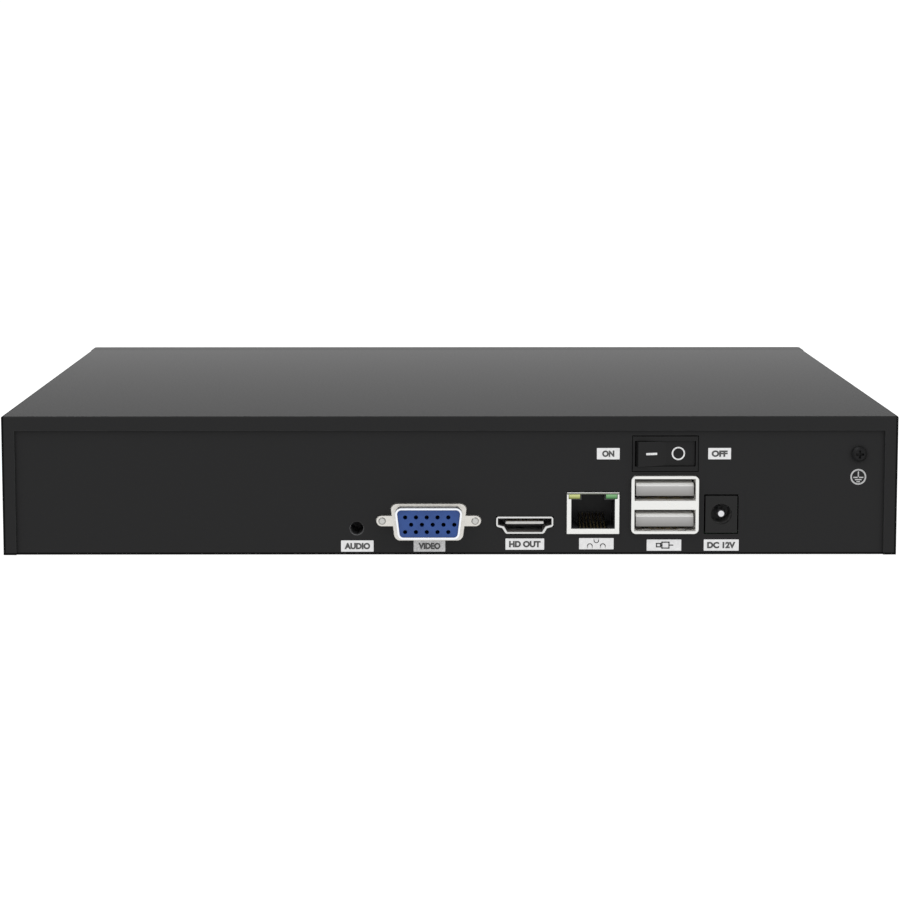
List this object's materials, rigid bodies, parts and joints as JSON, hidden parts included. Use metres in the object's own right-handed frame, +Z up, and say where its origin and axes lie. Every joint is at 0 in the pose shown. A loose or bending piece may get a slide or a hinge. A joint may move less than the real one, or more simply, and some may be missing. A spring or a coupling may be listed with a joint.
{
  "type": "video recorder",
  "caption": "Flat black sheet-steel network video recorder with rear sockets, rocker power switch, main board and disk drive inside.",
  "frame": {"origin": "centre of the footprint on the surface that the feet stand on", "axes": "+X to the right when looking at the socket panel, +Y from the socket panel towards the front bezel, +Z up"},
  "size_m": [0.24, 0.216, 0.04],
  "materials": {
    "black_powder_coat": "fine satin powder coat",
    "black_plastic": "fine moulded texture",
    "smoked_plastic": "polished, smoked",
    "clear_plastic": "clear, polished",
    "circuit_board": "solder resist",
    "black_rubber": "matt",
    "black_steel": "black zinc",
    "zinc_steel": "zinc plated",
    "nickel_steel": "nickel plated",
    "chip_resin": "moulded resin",
    "pad_rubber": "soft silicone",
    "aluminium": "cast or drawn, bare",
    "gold_contacts": "gold flash",
    "blue_plastic": "moulded",
    "white_plastic": "moulded",
    "grey_plastic": "moulded",
    "lamp_plastic": "translucent, tinted",
    "lead_sleeve": "extruded sleeve",
    "platter_metal": "polished"
  },
  "bodies": {
    "enclosure": {"audio_jack_body": "black_plastic", "audio_jack_contacts": "gold_contacts", "board_screws": "zinc_steel", "board_standoffs": "zinc_steel", "buzzer": "black_plastic", "capacitors": "aluminium", "cell_holder": "black_plastic", "chassis_tray": "black_powder_coat", "coin_cell": "zinc_steel", "cover_screws": "black_steel", "drive_board_sockets": "black_plastic", "drive_casting": "aluminium", "drive_controller": "circuit_board", "drive_leads": "lead_sleeve", "drive_lid": "zinc_steel", "drive_magnets": "nickel_steel", "drive_plugs": "black_plastic", "drive_screws": "zinc_steel", "drive_spacers": "black_rubber", "flash_chip": "chip_resin", "front_bezel": "black_plastic", "front_lamp_board": "circuit_board", "front_window": "smoked_plastic", "ground_nut": "zinc_steel", "ground_screw": "black_steel", "heat_sink": "aluminium", "light_pipes": "clear_plastic", "main_board": "circuit_board", "memory_chips": "chip_resin", "monitor_socket_contacts": "gold_contacts", "monitor_socket_shell": "nickel_steel", "monitor_socket_tongue": "grey_plastic", "network_socket_contacts": "gold_contacts", "network_socket_housing": "black_plastic", "network_socket_lamps": "lamp_plastic", "network_socket_shield": "nickel_steel", "power_coils": "chip_resin", "power_inlet_housing": "black_plastic", "power_inlet_pin": "nickel_steel", "power_inlet_tabs": "zinc_steel", "processor_chip": "chip_resin", "rubber_feet": "black_rubber", "serial_socket_contacts": "gold_contacts", "serial_socket_shield": "nickel_steel", "serial_socket_tongues": "grey_plastic", "switch_frame": "black_plastic", "switch_header": "white_plastic", "switch_leads": "lead_sleeve", "switch_terminals": "gold_contacts", "thermal_pad": "pad_rubber", "top_cover": "black_powder_coat", "video_socket_contacts": "gold_contacts", "video_socket_insert": "blue_plastic", "video_socket_rivets": "nickel_steel", "video_socket_shell": "nickel_steel"},
    "rocker": {"switch_rocker": "black_plastic", "switch_plunger": "zinc_steel"},
    "contact_lever": {"switch_lever": "gold_contacts"},
    "platters": {"drive_platters": "platter_metal"},
    "head_arm": {"drive_arm": "aluminium"}
  },
  "joints": [
    {"name": "rocker_tilt", "type": "hinge", "parent": "enclosure", "child": "rocker", "pos_m": [0.0577, -0.1006, 0.0298], "axis": [0, 0, -1], "range_deg": [0, 16]},
    {"name": "lever_tilt", "type": "hinge", "parent": "enclosure", "child": "contact_lever", "pos_m": [0.0577, -0.0926, 0.0298], "axis": [0, 0, 1], "range_deg": [0, 12.8]},
    {"name": "spindle_turn", "type": "hinge", "parent": "enclosure", "child": "platters", "pos_m": [-0.06, 0.0388, 0.018], "axis": [0, 0, 1], "continuous": true},
    {"name": "head_arm_swing", "type": "hinge", "parent": "enclosure", "child": "head_arm", "pos_m": [-0.002, 0.018, 0.018], "axis": [0, 0, 1], "range_deg": [0, 30]}
  ],
  "couplings": [
    {"joint": "lever_tilt", "follows": "rocker_tilt", "ratio": 0.8}
  ]
}
